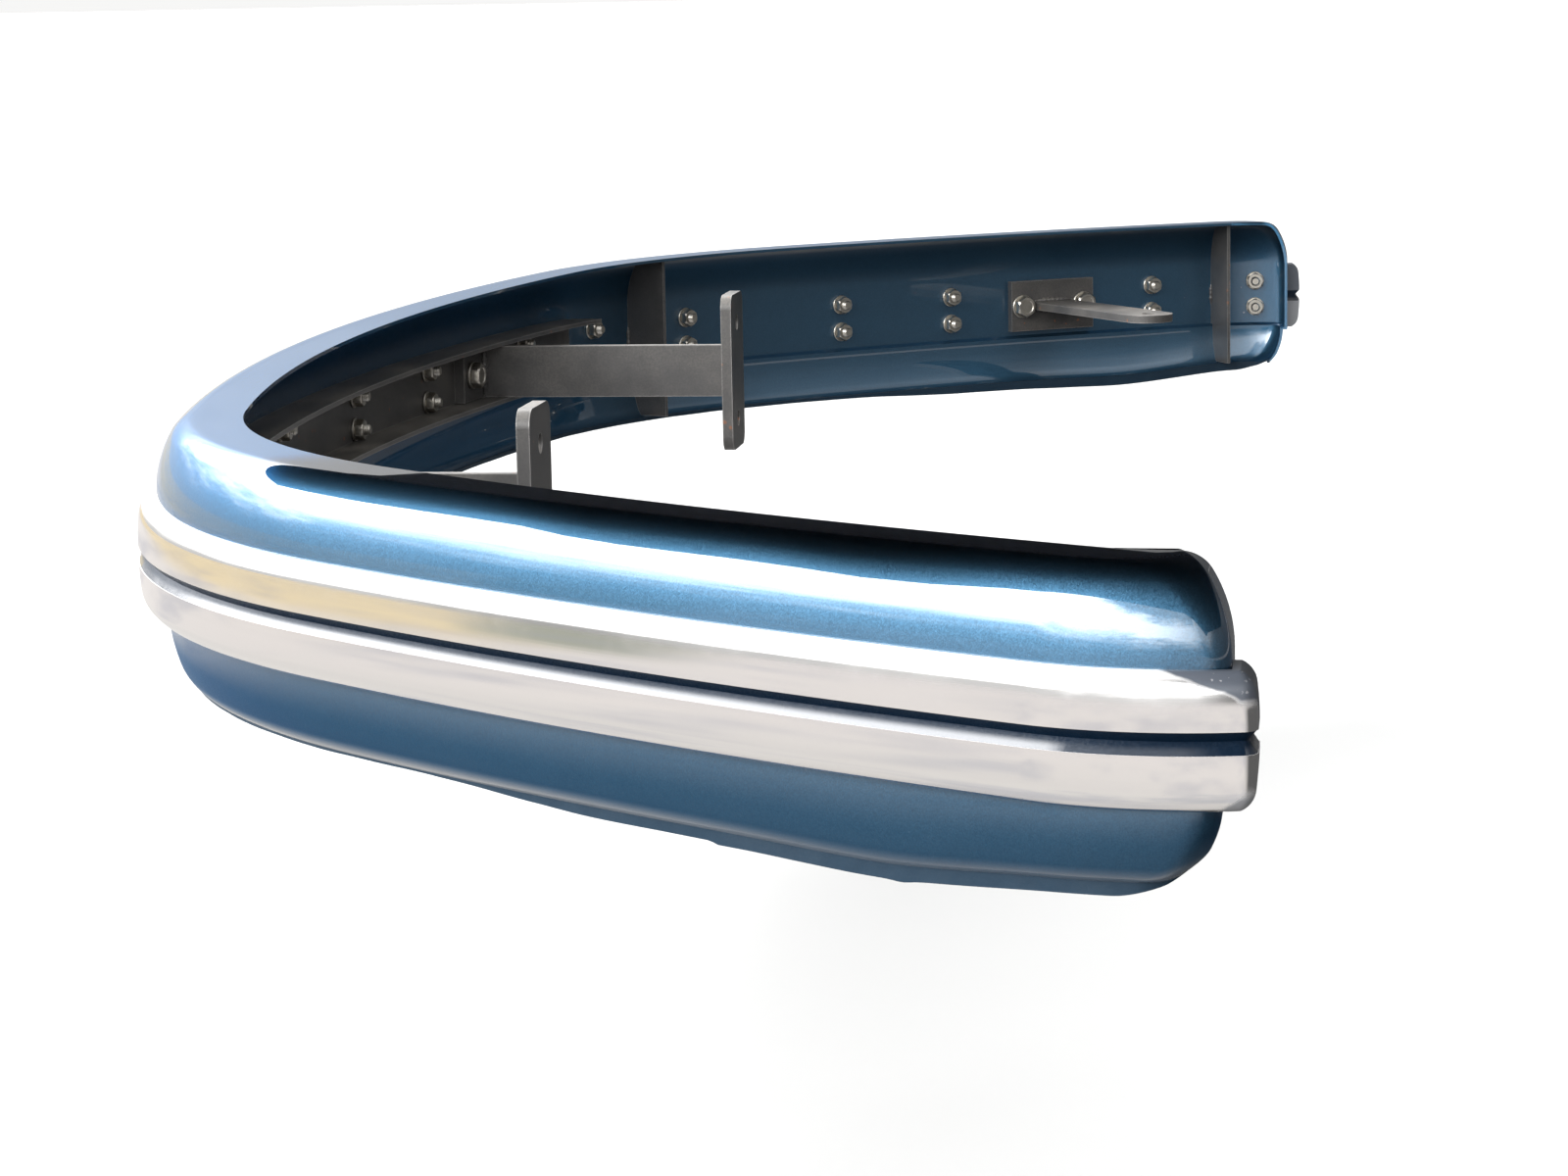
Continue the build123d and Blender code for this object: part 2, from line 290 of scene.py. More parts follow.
def finish_piece(mesh, sharp_angle, slot, *nodes):
    """Makes the object, smooth up to an angle, and puts it on the body in place of its CAD nodes."""
    bm = bmesh.new()
    bm.from_mesh(mesh)
    bmesh.ops.recalc_face_normals(bm, faces=bm.faces)
    bm.to_mesh(mesh)
    bm.free()
    mesh.shade_smooth()
    mesh.set_sharp_from_angle(angle=math.radians(sharp_angle))
    piece = bpy.data.objects.new(mesh.name, mesh)
    bpy.context.scene.collection.objects.link(piece)
    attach(piece, "root")
    if nodes:
        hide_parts(*nodes)
    return piece


def fit_below_seat(mesh):
    """Brings what lies below the seat to the lower lobe's height at each distance from the end."""
    foot = LOWER_BAND[0].z
    for vertex in mesh.vertices:
        if vertex.co.z < foot:
            stretch = lobe_drop(END_Y - vertex.co.y) / LOWER_LOBE_CUT
            vertex.co.z = foot + (vertex.co.z - foot) * stretch


def fitted_rib(name):
    """Sheet rib cut to the lower lobe's height, in place of its plain node."""
    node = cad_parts[name]
    mesh = node.data.copy()
    mesh.name = name + "_fitted"
    mesh.transform(node.matrix_world)
    fit_below_seat(mesh)
    return finish_piece(mesh, 40, "iron_paint", name)


class Lobe:
    """Profile of a rounded lobe: a wide arc from the seat, then a tighter one over its crest."""

    def __init__(self, row, base, way, skin=0.0):
        start, across, height, self.crest = row
        self.base = base
        self.way = way
        self.crest_depth = start + across
        self.crest_rise = height - self.crest
        self.wide = (across ** 2 - self.crest ** 2 + self.crest_rise ** 2) / (2 * (across - self.crest))
        self.wide_depth = start + self.wide
        fall = math.hypot(self.wide_depth - self.crest_depth, self.crest_rise)
        self.turn = math.asin(self.crest_rise / fall)
        self.wide -= skin
        self.crest -= skin

    def at(self, angle):
        """Point of the profile where its normal has turned by this angle from level."""
        if angle <= self.turn:
            depth = self.wide_depth - self.wide * math.cos(angle)
            rise = self.wide * math.sin(angle)
        else:
            depth = self.crest_depth - self.crest * math.cos(angle)
            rise = self.crest_rise + self.crest * math.sin(angle)
        return depth, self.base + self.way * rise

    def points(self, last, steps):
        angles = [self.turn * i / steps for i in range(steps)]
        angles += [self.turn + (last - self.turn) * i / steps for i in range(steps + 1)]
        return [self.at(a) for a in angles]


def blade_pairs():
    """Outer and inner points of the blade's sheet in section, from the top flange's rear edge to the lip."""
    upper, upper_in = [Lobe(UPPER_LOBE, UPPER_BAND[1].z, 1, skin) for skin in (0.0, SHEET)]
    lower, lower_in = [Lobe(LOWER_LOBE, LOWER_BAND[0].z, -1, skin) for skin in (0.0, SHEET)]
    last = math.asin((LOWER_LOBE_CUT - lower.crest_rise) / lower.crest)
    outer = upper.points(math.pi / 2, LOBE_STEPS)[::-1]
    inner = upper_in.points(math.pi / 2, LOBE_STEPS)[::-1]
    edge, top = outer[0]
    flange = [(BLADE_BACK + (edge - BLADE_BACK) * i / FLANGE_STEPS, top) for i in range(FLANGE_STEPS)]
    outer = flange + outer
    inner = [(depth, height - SHEET) for depth, height in flange] + inner
    seat = BAND_PROUD + SHEET
    foot = LOWER_BAND[0].z
    outer += [(BAND_PROUD, 0.0), (BAND_PROUD, foot)]
    inner += [(seat, 0.0), (seat, foot + SHEET)]
    outer += lower.points(last, LOBE_STEPS)
    inner += lower_in.points(last, LOBE_STEPS)
    return outer, inner


def step_up(low, high, value):
    """Smooth step from 0 to 1."""
    share = min(1.0, max(0.0, (value - low) / (high - low)))
    return share * share * (3 - 2 * share)


def swell(place, width, value):
    """Smooth bump of height 1."""
    return math.exp(-((value - place) / width) ** 2)


def lobe_drop(back):
    """Height of the lower lobe by distance in front of the end: it swells a little, then rises to the end."""
    height, place, width = LOBE_SWELL
    drop = LOBE_HEIGHT + height * swell(place, width, back)
    for rise, low, high in LOBE_RISES:
        drop -= rise * (1 - step_up(low, high, back))
    return drop


def blade_corner(depth):
    """Radius of the end corner in plan at a depth: tight on the seat, wider up the lobes."""
    crest = UPPER_LOBE[0] + UPPER_LOBE[1]
    radius = CORNER_AT_SEAT + CORNER_GROWTH * (min(depth, crest) - BAND_PROUD)
    if depth <= crest:
        return radius
    return radius * max(CORNER_LEAST, (BLADE_BACK - depth) / (BLADE_BACK - crest))


def blade_stop(depth):
    """Where the end wall stops at a depth: in line with the blade's open back."""
    rise = END_Y - depth - CENTRES[-1].y
    return CENTRES[-1].x + math.sqrt((LAST_RADIUS - BLADE_BACK) ** 2 - rise ** 2)


def make_blade():
    """The pressed blade: its sheet swept round both ends, its inner side in the second material."""
    outer, inner = blade_pairs()
    rings = []
    for depth, _ in outer:
        rings.append(outline(depth, blade_corner(depth), blade_stop(depth)))
    for (depth, _), (outer_depth, _) in zip(reversed(inner), reversed(outer)):
        corner = max(CORNER_RADIUS_LEAST, blade_corner(outer_depth) - (depth - outer_depth))
        rings.append(outline(depth, corner, blade_stop(depth)))
    mesh = swept_mesh("painted_blade", outer + inner[::-1], rings)
    fit_below_seat(mesh)
    shown = (len(outer) - 1) * (len(rings[0]) - 1)
    for polygon in mesh.polygons[shown:]:
        polygon.material_index = 1
    return finish_piece(mesh, 40, "body_paint", "blade")


def band_section(face, outer):
    """Section of a bright band: flat back, a face that leans back a little, its outer edge rounded over."""
    way = math.copysign(1, outer - face)
    turn = math.radians(BAND_ROUND_TURN)
    lean = math.radians(BAND_LEAN)
    base = outer - way * BAND_ROUND * (math.sin(turn) - math.sin(lean))
    belly = abs(base - face) / math.sin(lean)
    points = [(BAND_PROUD, face)]
    for i in range(BAND_FACE_STEPS + 1):
        a = lean * i / BAND_FACE_STEPS
        points.append((belly * (1 - math.cos(a)), face + way * belly * math.sin(a)))
    shoulder = points[-1][0]
    for i in range(1, BAND_ROUND_STEPS + 1):
        a = lean + (turn - lean) * i / BAND_ROUND_STEPS
        points.append((shoulder + BAND_ROUND * (math.cos(lean) - math.cos(a)),
                       base + way * BAND_ROUND * (math.sin(a) - math.sin(lean))))
    points.append((BAND_PROUD, outer))
    return points


def groove_section():
    """Section of the painted strip between the bands, with its V-shaped face."""
    top = UPPER_BAND[0].z
    foot = LOWER_BAND[1].z
    apex = (GROOVE_DEPTH, 0.0)
    return [(BAND_PROUD, top), (GROOVE_SETBACK, top), apex, (GROOVE_SETBACK, foot), (BAND_PROUD, foot)]


def wrapped(name, section, sharp_angle, slot, node):
    """A strip on the blade's seat, carried round both corners and in behind the ends."""
    _, centre = end_corner(0.0, BAND_CORNER)
    rings = [outline(depth, max(0.0002, BAND_CORNER - depth), centre.x - BAND_RETURN) for depth, _ in section]
    return finish_piece(swept_mesh(name, section, rings), sharp_angle, slot, node)


class Board:
    """A node tree, with short calls to add nodes and feed them."""

    def __init__(self, tree):
        self.tree = tree

    def feed(self, socket, value):
        if isinstance(value, bpy.types.NodeSocket):
            self.tree.links.new(value, socket)
        else:
            socket.default_value = value

    def node(self, kind, inputs=None, **settings):
        node = self.tree.nodes.new(kind)
        for name, value in settings.items():
            setattr(node, name, value)
        for name, value in (inputs or {}).items():
            self.feed(node.inputs[name], value)
        return node

    def math(self, operation, *values, clamp=False):
        settings = dict(operation=operation, use_clamp=clamp)
        return self.node("ShaderNodeMath", dict(enumerate(values)), **settings).outputs[0]

    def times(self, first, second, clamp=False):
        return self.math("MULTIPLY", first, second, clamp=clamp)

    def plus(self, first, second, clamp=False):
        return self.math("ADD", first, second, clamp=clamp)

    def minus(self, first, second):
        return self.math("SUBTRACT", first, second)

    def vector(self, operation, *values, out="Vector"):
        return self.node("ShaderNodeVectorMath", dict(enumerate(values)), operation=operation).outputs[out]

    def split(self, vector):
        return self.node("ShaderNodeSeparateXYZ", {0: vector}).outputs

    def join(self, x=0.0, y=0.0, z=0.0):
        return self.node("ShaderNodeCombineXYZ", {0: x, 1: y, 2: z}).outputs[0]

    def remap(self, value, low, high, to_low=0.0, to_high=1.0, smooth=True):
        inputs = {"Value": value, "From Min": low, "From Max": high, "To Min": to_low, "To Max": to_high}
        shape = "SMOOTHSTEP" if smooth else "LINEAR"
        return self.node("ShaderNodeMapRange", inputs, interpolation_type=shape).outputs[0]

    def noise(self, vector, scale, detail=2.0, rough=0.5, out="Fac"):
        inputs = {"Vector": vector, "Scale": scale, "Detail": detail, "Roughness": rough}
        return self.node("ShaderNodeTexNoise", inputs).outputs[out]

    def cells(self, vector, scale):
        return self.node("ShaderNodeTexVoronoi", {"Vector": vector, "Scale": scale}).outputs

    def normal(self):
        return self.node("ShaderNodeNewGeometry").outputs["Normal"]

    def facing_up(self):
        return self.split(self.normal())[2]

    def ramp(self, value, stops):
        node = self.node("ShaderNodeValToRGB", {0: value})
        points = node.color_ramp.elements
        while len(points) < len(stops):
            points.new(0.5)
        for point, (place, color) in zip(points, stops):
            point.position = place
            point.color = (*color, 1)
        return node.outputs[0]

    def blend(self, share, first, second):
        node = self.node("ShaderNodeMix", data_type="RGBA")
        self.feed(node.inputs[0], share)
        self.feed(node.inputs[6], tinted(first))
        self.feed(node.inputs[7], tinted(second))
        return node.outputs[2]

    def lerp(self, share, first, second):
        node = self.node("ShaderNodeMix", data_type="FLOAT")
        self.feed(node.inputs[0], share)
        self.feed(node.inputs[2], first)
        self.feed(node.inputs[3], second)
        return node.outputs[0]

    def use(self, effect, **inputs):
        return self.node("ShaderNodeGroup", inputs, node_tree=EFFECTS[effect]).outputs

    def mask(self, effect, place, **inputs):
        return self.use(effect, Vector=place, **inputs)["Mask"]

    def bump(self, height, distance, strength=1.0):
        inputs = {"Height": height, "Distance": distance, "Strength": strength}
        return self.node("ShaderNodeBump", inputs).outputs[0]


def tinted(color):
    return (*color, 1) if isinstance(color, tuple) and len(color) == 3 else color


def new_group(name, inputs, outputs):
    """Shader node group with its sockets: (name, kind, start value) in, (name, kind) out."""
    group = bpy.data.node_groups.new(name, "ShaderNodeTree")
    for label, kind, value in inputs:
        socket = group.interface.new_socket(label, in_out="INPUT", socket_type="NodeSocket" + kind)
        socket.default_value = value
    for label, kind in outputs:
        group.interface.new_socket(label, in_out="OUTPUT", socket_type="NodeSocket" + kind)
    board = Board(group)
    return group, board, board.node("NodeGroupInput").outputs, board.node("NodeGroupOutput").inputs


def paint_flake():
    """Metal flake in paint: every tiny cell has its own brightness and tilt."""
    group, board, given, result = new_group(
        "paint_flake", [("Vector", "Vector", (0, 0, 0)), ("Scale", "Float", 1500.0), ("Tilt", "Float", 0.1)],
        [("Tone", "Float"), ("Normal", "Vector")])
    color = board.cells(given["Vector"], given["Scale"])["Color"]
    fine = board.split(color)[0]
    broad = board.noise(given["Vector"], 45.0, 3.0, 0.6)
    tone = board.lerp(0.35, fine, broad)
    board.feed(result["Tone"], tone)
    tilt = board.vector("SUBTRACT", color, (0.5, 0.5, 0.5))
    tilt = board.node("ShaderNodeVectorMath", {0: tilt, "Scale": given["Tilt"]}, operation="SCALE").outputs[0]
    board.feed(result["Normal"], board.vector("NORMALIZE", board.vector("ADD", board.normal(), tilt)))
    return group


def fine_specks():
    """Scattered small spots: chips, pits or rust, denser where the patches of a broad noise are."""
    group, board, given, result = new_group(
        "fine_specks", [("Vector", "Vector", (0, 0, 0)), ("Scale", "Float", 400.0), ("Share", "Float", 0.1),
                        ("Size", "Float", 0.3)], [("Mask", "Float")])
    warp = board.noise(given["Vector"], board.times(given["Scale"], 2.0), 1.0, 0.5, "Color")
    warp = board.vector("MULTIPLY", board.vector("SUBTRACT", warp, (0.5, 0.5, 0.5)), (0.0012, 0.0012, 0.0012))
    place = board.vector("ADD", given["Vector"], warp)
    cell = board.cells(place, given["Scale"])
    chance = board.split(cell["Color"])
    picked = board.math("LESS_THAN", chance[0], given["Share"])
    reach = board.times(given["Size"], board.remap(chance[1], 0.0, 1.0, 0.4, 1.0, False))
    spot = board.remap(cell["Distance"], board.times(reach, 0.7), reach, 1.0, 0.0)
    board.feed(result["Mask"], board.times(spot, picked))
    return group


def edge_wear():
    """Where edges are rubbed: near convex edges, broken up by noise."""
    group, board, given, result = new_group(
        "edge_wear", [("Vector", "Vector", (0, 0, 0)), ("Radius", "Float", 0.001), ("Break", "Float", 0.5)],
        [("Mask", "Float")])
    soft = board.node("ShaderNodeBevel", {"Radius": given["Radius"]}, samples=4).outputs[0]
    alike = board.vector("DOT_PRODUCT", soft, board.normal(), out="Value")
    turned_away = board.minus(1.0, alike)
    rough = board.noise(given["Vector"], 260.0, 3.0, 0.65)
    broken = board.times(board.minus(rough, 0.5), given["Break"])
    edge = board.plus(board.times(turned_away, 3.0), broken)
    board.feed(result["Mask"], board.remap(edge, 0.2, 0.42))
    return group


def dust_film():
    """Road dust: thin everywhere, thicker on faces that look up and in soft patches."""
    group, board, given, result = new_group(
        "dust_film", [("Vector", "Vector", (0, 0, 0)), ("Amount", "Float", 0.3)], [("Mask", "Float")])
    up = board.facing_up()
    lying = board.remap(up, -0.2, 0.95, 0.35, 1.0)
    patches = board.remap(board.noise(given["Vector"], 22.0, 4.0, 0.6), 0.35, 0.7, 0.3, 1.0)
    grains = board.remap(board.noise(given["Vector"], 900.0, 2.0, 0.6), 0.3, 0.7, 0.5, 1.0)
    film = board.times(board.times(lying, patches), grains)
    board.feed(result["Mask"], board.times(film, given["Amount"], clamp=True))
    return group


def new_material(name, **settings):
    """Material with its shader's own values set, with its board, its shader and its surface place."""
    material = bpy.data.materials.new(name)
    material.use_nodes = True
    shader = material.node_tree.nodes["Principled BSDF"]
    for label, value in settings.items():
        shader.inputs[label.replace("_", " ")].default_value = value
    board = Board(material.node_tree)
    return material, board, shader.inputs, board.node("ShaderNodeTexCoord").outputs["Object"]


def body_paint():
    """Metallic blue under clear gloss, with painted shade below, a dusty tone underneath that is also a
    painted reflection of pale ground, and stone chips near the ends.
    """
    material, board, shader, place = new_material(
        "metallic_blue_paint", Coat_Roughness=0.02, Coat_IOR=1.7, Specular_Tint=(0.25, 0.45, 0.80, 1.0))
    flake = board.use("flake", Vector=place, Scale=2600.0, Tilt=0.13)
    color = board.blend(flake["Tone"], *BODY_BLUE)
    spots = board.mask("specks", place, Scale=230.0, Share=0.04, Size=0.17)
    near_end = board.remap(board.split(place)[1], 0.20, 0.31)
    chips = board.times(spots, board.lerp(near_end, 0.0, 0.8))
    up = board.facing_up()
    dust = board.mask("dust", place, Amount=0.02)
    # Painted shade: faces that look down are blended towards a darker blue.
    color = board.blend(board.remap(up, -0.15, 0.05, 0.30, 0.0), color, BODY_BLUE_SHADED_BELOW)
    # Faces that look steeply down, more so towards the front, get a heavier dust tone and less metal: road
    # dust, and also a painted reflection of pale ground below.
    toward_front = board.remap(board.split(place)[1], 0.0, 0.25, 1.0, 0.45)
    under = board.times(board.remap(up, -0.78, -0.38, 1.0, 0.0), toward_front)
    dust = board.plus(dust, board.times(under, 0.55))
    color = board.blend(dust, color, DUST)
    board.feed(shader["Base Color"], board.blend(chips, color, PRIMER))
    board.feed(shader["Metallic"], board.lerp(board.plus(chips, under, clamp=True), 0.92, 0.0))
    board.feed(shader["Roughness"], board.lerp(chips, board.lerp(dust, 0.48, 0.8), 0.7))
    below = board.remap(up, -0.80, -0.60, 1.0, 0.15)
    gloss = board.math("MAXIMUM", board.remap(up, -0.25, 0.0, 0.15, 1.0), below)
    board.feed(shader["Coat Weight"], board.lerp(chips, gloss, 0.1))
    board.feed(shader["Normal"], flake["Normal"])
    return material


def underside_paint():
    """The blade's inner side: thinner, duller colour with road dirt and rusty specks."""
    material, board, shader, place = new_material("dull_blue_underside", Coat_Weight=0.15, Coat_Roughness=0.3)
    cloudy = board.noise(place, 30.0, 4.0, 0.6)
    color = board.blend(cloudy, *UNDERSIDE_BLUE)
    dust = board.mask("dust", place, Amount=0.75)
    rust = board.mask("specks", place, Scale=160.0, Share=0.12, Size=0.3)
    worn = board.mask("wear", place, Radius=0.0012, Break=0.6)
    color = board.blend(dust, color, DUST)
    color = board.blend(board.times(worn, 0.5), color, PRIMER)
    board.feed(shader["Base Color"], board.blend(board.times(rust, 0.7), color, RUST))
    board.feed(shader["Roughness"], board.lerp(dust, 0.42, 0.85))
    board.feed(shader["Normal"], board.bump(cloudy, 0.0003))
    return material


def lip_paint():
    """The lip's paint: dull, and darkened far below the body's blue as painted shade, with road dust."""
    material, board, shader, place = new_material("dull_blue_lip", Specular_IOR_Level=0.15)
    cloudy = board.noise(place, 90.0, 4.0, 0.6)
    color = board.blend(cloudy, *LIP_BLUE_SHADED)
    dust = board.mask("dust", place, Amount=0.05)
    board.feed(shader["Base Color"], board.blend(dust, color, DUST))
    board.feed(shader["Roughness"], board.lerp(cloudy, 0.35, 0.55))
    board.feed(shader["Normal"], board.bump(cloudy, 0.0004))
    return material


def groove_paint():
    """Gloss blue in the groove, far darker than the body's blue as painted shade, with a little dust; its
    lower face has the clear coat, which fades out towards the apex as more painted shade.
    """
    material, board, shader, place = new_material(
        "gloss_blue_groove_painted_shade", Specular_IOR_Level=0.1, Coat_Roughness=0.03, Coat_IOR=1.5)
    flake = board.use("flake", Vector=place, Scale=1700.0, Tilt=0.15)
    color = board.blend(flake["Tone"], *GROOVE_BLUE_SHADED)
    dust = board.mask("dust", place, Amount=0.004)
    board.feed(shader["Base Color"], board.blend(dust, color, DUST))
    board.feed(shader["Roughness"], board.lerp(dust, 0.38, 0.8))
    # The coat fades out towards the groove's apex: painted shade in the recess.
    board.feed(shader["Coat Weight"], board.remap(board.split(place)[2], -0.0031, -0.0009, 1.0, 0.02))
    board.feed(shader["Normal"], flake["Normal"])
    return material


def band_metal():
    """Polished aluminium with fine lines along the bands; the turned ends are duller and pitted, and their
    dark grey is also a painted reflection of dark surroundings behind the ends.
    """
    material, board, shader, place = new_material("polished_aluminium")
    sweep = board.node("ShaderNodeAttribute", attribute_name="sweep").outputs["Vector"]
    along, across, past = board.split(sweep)
    drawn = board.join(board.times(along, 6.0), board.times(across, 1500.0))
    lines = board.noise(drawn, 1.0, 3.0)
    streaks = board.join(board.times(along, 3.0), board.times(across, 250.0))
    streaks = board.noise(streaks, 1.0, 2.0)
    height = board.split(place)[2]
    # The dull end starts about where the corner ends, sooner far from the groove, on an uneven line. Its dark
    # grey is also a painted reflection of dark surroundings.
    from_groove = board.math("MAXIMUM", board.minus(board.math("ABSOLUTE", height), 0.003), 0.0)
    spread = board.remap(height, -0.001, 0.001, 80.0, 190.0, False)
    early = board.times(board.math("POWER", from_groove, 2.2), spread)
    uneven = board.times(board.noise(place, 160.0), 0.005)
    edge = board.plus(board.plus(past, early), uneven)
    turned_end = board.remap(edge, 0.0065, 0.0105)
    dull = board.times(turned_end, board.remap(height, -0.001, 0.001, 0.8, 1.0))
    up = board.facing_up()
    worn_top = board.remap(up, 0.45, 0.85)
    haze = board.remap(board.noise(place, 35.0, 4.0, 0.6), 0.4, 0.75)
    pits = board.mask("specks", place, Scale=700.0, Share=0.35, Size=0.35)
    pitted = board.times(pits, board.lerp(turned_end, 0.03, 0.8))
    color = board.blend(streaks, *ALUMINIUM)
    color = board.blend(dull, color, DULL_ALUMINIUM_AND_DARK_REFLECTION)
    board.feed(shader["Base Color"], board.blend(pitted, color, PITTED_ALUMINIUM))
    bare = board.lerp(dull, 1.0, 0.15)
    board.feed(shader["Metallic"], board.times(board.lerp(worn_top, 1.0, 0.45), bare))
    rough = board.lerp(haze, 0.055, 0.12)
    rough = board.plus(rough, board.times(streaks, 0.06))
    rough = board.lerp(worn_top, rough, 0.45)
    board.feed(shader["Roughness"], board.lerp(turned_end, rough, 0.36))
    relief = board.minus(lines, board.times(pitted, 2.0))
    board.feed(shader["Normal"], board.bump(relief, 0.000006, 0.6))
    return material


def black_paint():
    """Satin black on the beam and irons, dusty, with worn edges and rusty specks."""
    material, board, shader, place = new_material("satin_black_paint", Coat_Weight=0.0)
    cloudy = board.noise(place, 60.0, 4.0, 0.6)
    color = board.blend(cloudy, *SATIN_BLACK)
    dust = board.mask("dust", place, Amount=0.42)
    rust = board.mask("specks", place, Scale=210.0, Share=0.10, Size=0.3)
    worn = board.mask("wear", place, Radius=0.0011, Break=0.7)
    color = board.blend(dust, color, DUST)
    color = board.blend(board.times(rust, 0.8), color, RUST)
    board.feed(shader["Base Color"], board.blend(board.times(worn, 0.8), color, RUBBED_STEEL))
    board.feed(shader["Metallic"], board.times(worn, 0.7))
    board.feed(shader["Roughness"], board.lerp(dust, 0.38, 0.8))
    grain = board.noise(place, 1100.0, 2.0)
    board.feed(shader["Normal"], board.bump(board.plus(grain, rust), 0.00006, 0.5))
    return material


def fastener_steel():
    """Plated steel bolts and nuts, yellowed and dull, bright where spanners rubbed."""
    material, board, shader, place = new_material("plated_steel", Metallic=1.0)
    stains = board.noise(place, 420.0, 4.0, 0.65)
    color = board.blend(stains, *PLATED_STEEL)
    worn = board.mask("wear", place, Radius=0.0005, Break=0.5)
    dust = board.mask("dust", place, Amount=0.5)
    color = board.blend(worn, color, BRIGHT_STEEL)
    board.feed(shader["Base Color"], board.blend(dust, color, DUST))
    board.feed(shader["Roughness"], board.lerp(stains, 0.45, 0.28))
    board.feed(shader["Normal"], board.bump(stains, 0.00008, 0.5))
    return material


def dress(piece, *materials):
    piece.data.materials.clear()
    for material in materials:
        piece.data.materials.append(material)


def part_arc(arc, start, stop, steps, depth):
    """Plan points along one arc at a depth, between two headings."""
    radius = PLAN_ARCS[arc][0] - depth
    return [CENTRES[arc] + heading(start + (stop - start) * i / steps) * radius for i in range(steps + 1)]


def lip_drop(x, back):
    """How far the lip hangs below the lobe: it wanders, and has a step and a tooth on the left side."""
    drop = LIP_HANG + LIP_WANDER * noise.noise(Vector((x, back, 0.0)) * LIP_GRAIN)
    for more, low, high in (*LIP_ADDED, LIP_STEP_LEFT if x > 0 else LIP_STEP_RIGHT):
        drop += more * (1 - step_up(low, high, back))
    for height, place, width in (LIP_SWELL, LIP_TOOTH) if x > 0 else (LIP_SWELL,):
        drop += height * swell(place, width, back)
    return drop


def make_lip():
    """Narrow turned-down edge under the lower lobe, fading out round both corners."""
    lower = Lobe(LOWER_LOBE, LOWER_BAND[0].z, -1)
    depth, _ = lower.at(math.asin((LOWER_LOBE_CUT - lower.crest_rise) / lower.crest))
    lines = []
    for skin in (0.0, SHEET):
        corner = max(CORNER_RADIUS_LEAST, blade_corner(depth) - skin)
        _, centre = end_corner(depth + skin, corner)
        lines.append(outline(depth + skin, corner, centre.x - LIP_END_RUN, LIP_FINENESS))
    along = running_lengths(lines[0])
    count = len(along)
    corner_start = along[count - 1 - END_STEPS - CORNER_STEPS]
    roots = []
    feet = []
    for point, distance in zip(lines[0], along):
        back = END_Y - point.y
        roots.append(LOWER_BAND[0].z - lobe_drop(back))
        fade = 1 - step_up(*LIP_FADE, abs(distance) - corner_start)
        feet.append(roots[-1] - lip_drop(point.x, back) * fade - 0.0001)
    tops = [root + LIP_OVERLAP for root in roots]
    points = []
    for line, levels in ((lines[0], tops), (lines[0], feet), (lines[1], feet), (lines[1], tops)):
        points += [(p.x, p.y, level) for p, level in zip(line, levels)]
    mesh = bpy.data.meshes.new("blade_lip")
    mesh.from_pydata(points, [], loop_faces(4, count))
    return finish_piece(mesh, 40, "body_paint", "blade")


def place_on(arc, angle, depth, height, side):
    """Place on the bumper's inside: its z runs inward, its x along the bumper, its y up."""
    outward = heading(angle)
    point = CENTRES[arc] + outward * (PLAN_ARCS[arc][0] - depth)
    inward = Vector((-outward.x * side, -outward.y, 0.0))
    up = Vector((0.0, 0.0, 1.0))
    place = Matrix((up.cross(inward), up, inward)).transposed().to_4x4()
    place.translation = (point.x * side, point.y, height)
    return place


def skin_rings(bm, rings):
    """Adds the walls between rings of vertices, and a face over each end."""
    sides = len(rings[0])
    for a, b in zip(rings, rings[1:]):
        for i in range(sides):
            bm.faces.new((a[i], a[(i + 1) % sides], b[(i + 1) % sides], b[i]))
    bm.faces.new(rings[0][::-1])
    bm.faces.new(rings[-1])


def turned(bm, place, levels, flats=None):
    """Adds a turned form, closed at both ends; with a width across flats it is cut to a hexagon."""
    rings = []
    for radius, height in levels:
        ring = []
        for i in range(TURN_SIDES):
            a = 2 * math.pi * i / TURN_SIDES
            reach = radius
            if flats:
                face = (a + math.pi / 6) % (math.pi / 3) - math.pi / 6
                reach = min(radius, flats / 2 / math.cos(face))
            ring.append(bm.verts.new(place @ Vector((reach * math.cos(a), reach * math.sin(a), height))))
        rings.append(ring)
    skin_rings(bm, rings)


def washer(bm, place, radius, thick):
    round_off = 0.0003
    inner = radius - round_off
    turned(bm, place, [(inner, 0.0), (radius, round_off), (radius, thick - round_off), (inner, thick)])


def stud_nut(bm, place):
    """An M6 stud's threaded end with its washer and its nut, 10 mm across the flats."""
    size = STUD_SIZE
    flats = 0.010
    thick = 0.0012
    washer(bm, place, size * 1.05, thick)
    wide = flats / math.sqrt(3)
    round_off = flats * 0.49
    top = thick + size * 0.83
    levels = [(round_off, thick), (wide, thick + 0.0006), (wide, top - 0.0006), (round_off, top)]
    turned(bm, place, levels, flats)
    thread = []
    height = thick
    crest = True
    while height < top + size * 0.45:
        thread.append((size * (0.5 if crest else 0.43), height))
        height += size / 12
        crest = not crest
    thread.append((size * 0.36, height))
    turned(bm, place, thread)


def bolt_head(bm, place):
    """An M8 bolt's head on its washer, 13 mm across the flats, its top face slightly dished."""
    size = BOLT_SIZE
    flats = 0.013
    thick = 0.0016
    washer(bm, place, size, thick)
    wide = flats / math.sqrt(3)
    top = thick + size * 0.66
    levels = [(flats * 0.48, thick), (wide, thick + 0.0005), (wide, top - 0.0009), (flats * 0.47, top),
              (flats * 0.36, top), (flats * 0.33, top - 0.0004)]
    turned(bm, place, levels, flats)


